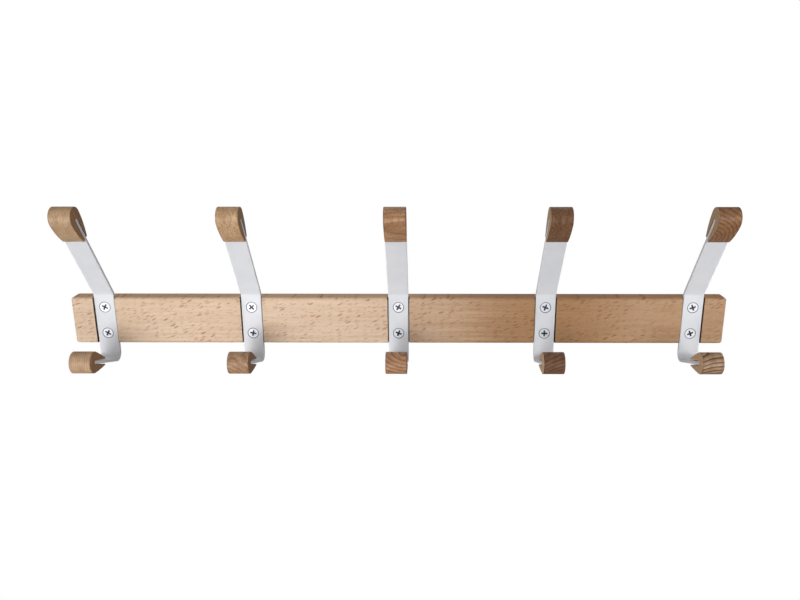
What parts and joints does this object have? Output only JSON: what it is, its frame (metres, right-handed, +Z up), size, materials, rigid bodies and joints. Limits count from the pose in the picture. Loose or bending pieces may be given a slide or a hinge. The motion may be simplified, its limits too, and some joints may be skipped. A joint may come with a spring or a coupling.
{
  "type": "wall hook rack",
  "caption": "Wooden batten with bent white steel strap hooks, each with an upper and a lower wooden knob, hung by keyhole plates in its back.",
  "frame": {"origin": "centre of the batten's back face, which lies on the wall", "axes": "+X along the batten to the right as seen from the room, +Y into the wall, +Z up"},
  "size_m": [0.6, 0.077, 0.1524],
  "materials": {
    "batten_wood": "light beech with fine flecks, satin lacquer",
    "knob_wood": "browner beech with visible growth rings, satin lacquer",
    "white_powder_coat": "white powder coat on steel strip, fine orange peel",
    "zinc_screw": "bright zinc plate",
    "zinc_plate": "zinc plated pressed steel"
  },
  "bodies": {
    "root": {"batten": "batten_wood", "strap_hook_1": "white_powder_coat", "strap_hook_2": "white_powder_coat", "strap_hook_3": "white_powder_coat", "strap_hook_4": "white_powder_coat", "strap_hook_5": "white_powder_coat", "upper_knob_1": "knob_wood", "lower_knob_1": "knob_wood", "upper_knob_2": "knob_wood", "lower_knob_2": "knob_wood", "upper_knob_3": "knob_wood", "lower_knob_3": "knob_wood", "upper_knob_4": "knob_wood", "lower_knob_4": "knob_wood", "upper_knob_5": "knob_wood", "lower_knob_5": "knob_wood", "hanger_plate_left": "zinc_plate", "hanger_plate_right": "zinc_plate", "hook_screw_1_upper": "zinc_screw", "hook_screw_1_lower": "zinc_screw", "hook_screw_2_upper": "zinc_screw", "hook_screw_2_lower": "zinc_screw", "hook_screw_3_upper": "zinc_screw", "hook_screw_3_lower": "zinc_screw", "hook_screw_4_upper": "zinc_screw", "hook_screw_4_lower": "zinc_screw", "hook_screw_5_upper": "zinc_screw", "hook_screw_5_lower": "zinc_screw", "hanger_screw_left_1": "zinc_screw", "hanger_screw_left_2": "zinc_screw", "hanger_screw_right_1": "zinc_screw", "hanger_screw_right_2": "zinc_screw"}
  },
  "joints": []
}
